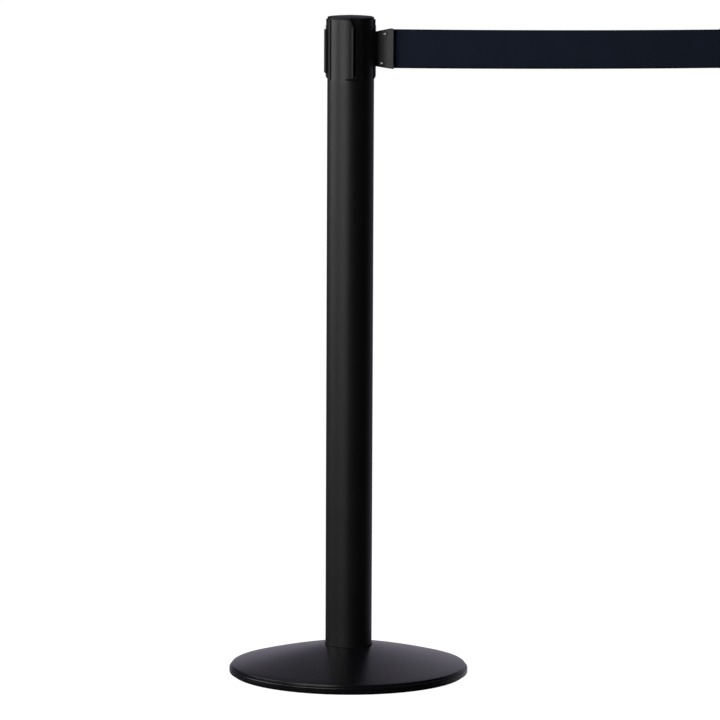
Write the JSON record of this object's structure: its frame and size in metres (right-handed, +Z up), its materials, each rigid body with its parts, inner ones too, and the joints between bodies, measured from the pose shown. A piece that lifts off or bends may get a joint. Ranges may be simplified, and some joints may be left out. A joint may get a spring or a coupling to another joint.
{
  "type": "retractable belt stanchion",
  "caption": "Free-standing queue post with a weighted domed round base, straight tube, slotted belt receivers, a sprung belt cassette and a plugged-in belt.",
  "frame": {"origin": "on the floor, on the tube's axis", "axes": "+Z up the tube; +X along the plugged-in belt; -Y towards the empty receiver; +Y where the own belt leaves the head"},
  "size_m": [0.7018, 0.324, 0.896],
  "materials": {
    "powder_coat": "satin black powder coat",
    "head_plastic": "moulded black plastic",
    "clip_plastic": "moulded dark grey plastic",
    "webbing": "woven navy-black polyester webbing",
    "rubber": "matt black rubber",
    "cast_iron": "raw casting",
    "zinc_steel": "zinc plated",
    "black_screw": "black oxide",
    "rivet_steel": "nickel plated",
    "plug_alloy": "machined",
    "reel_plastic": "natural acetal",
    "bush_bronze": "sintered bronze",
    "spring_steel": "blued spring steel"
  },
  "bodies": {
    "post": {"base_bolt": "zinc_steel", "base_cover": "powder_coat", "base_lock_washer": "zinc_steel", "base_washer": "zinc_steel", "base_weight": "cast_iron", "belt_run": "webbing", "cassette_base": "zinc_steel", "cassette_pillars": "zinc_steel", "cassette_screws": "zinc_steel", "cassette_top": "zinc_steel", "floor_ring": "rubber", "head_grub_screws": "zinc_steel", "head_lid": "head_plastic", "head_shell": "head_plastic", "lid_screw": "black_screw", "mouth_block": "head_plastic", "mouth_roller_pins": "zinc_steel", "post_tube": "powder_coat", "receiver_front": "head_plastic", "receiver_left": "head_plastic", "receiver_right": "head_plastic", "reel_shaft": "zinc_steel", "shaft_clip": "spring_steel", "tube_gasket": "rubber", "tube_plug": "plug_alloy"},
    "reel": {"reel_drum": "reel_plastic", "reel_flange_top": "reel_plastic", "reel_bushes": "bush_bronze", "spring_cup": "reel_plastic", "reel_spring": "spring_steel", "belt_wound": "webbing", "belt_anchor_pin": "zinc_steel"},
    "roller_belt_side": {"mouth_roller_belt_side": "reel_plastic"},
    "roller_free_side": {"mouth_roller_free_side": "reel_plastic"},
    "own_belt_end": {"own_clip_front": "clip_plastic", "own_clip_back": "clip_plastic", "own_clip_rivets": "rivet_steel", "own_clip_pin": "zinc_steel", "belt_stretch": "webbing"},
    "link_belt": {"link_near_clip_front": "clip_plastic", "link_near_clip_back": "clip_plastic", "link_near_clip_rivets": "rivet_steel", "link_near_clip_pin": "zinc_steel", "link_far_clip_front": "clip_plastic", "link_far_clip_back": "clip_plastic", "link_far_clip_rivets": "rivet_steel", "link_far_clip_pin": "zinc_steel", "link_webbing": "webbing"},
    "left_blank": {"receiver_blank": "head_plastic"}
  },
  "joints": [
    {"name": "belt_pull", "type": "slide", "parent": "post", "child": "own_belt_end", "axis": [0, 1, 0], "range_m": [0, 2], "stiffness_N_per_m": 1.5, "springref_m": -3, "deforming": ["belt_stretch"]},
    {"name": "reel_spin", "type": "hinge", "parent": "post", "child": "reel", "pos_m": [0, 0, 0.8508], "axis": [0, 0, 1], "range_deg": [-10, 6300], "deforming": ["reel_spring"]},
    {"name": "roller_spin_belt_side", "type": "hinge", "parent": "post", "child": "roller_belt_side", "pos_m": [0.0029, 0.0285, 0.8508], "axis": [0, 0, 1], "continuous": true},
    {"name": "roller_spin_free_side", "type": "hinge", "parent": "post", "child": "roller_free_side", "pos_m": [-0.0029, 0.0285, 0.8508], "axis": [0, 0, 1], "continuous": true},
    {"name": "link_belt_lift", "type": "slide", "parent": "post", "child": "link_belt", "axis": [0, 0, 1], "range_m": [0, 0.08]},
    {"name": "blank_lift", "type": "slide", "parent": "post", "child": "left_blank", "axis": [0, 0, 1], "range_m": [0, 0.08]}
  ],
  "couplings": [
    {"joint": "reel_spin", "follows": "belt_pull", "rad_per_m": 54.528}
  ]
}
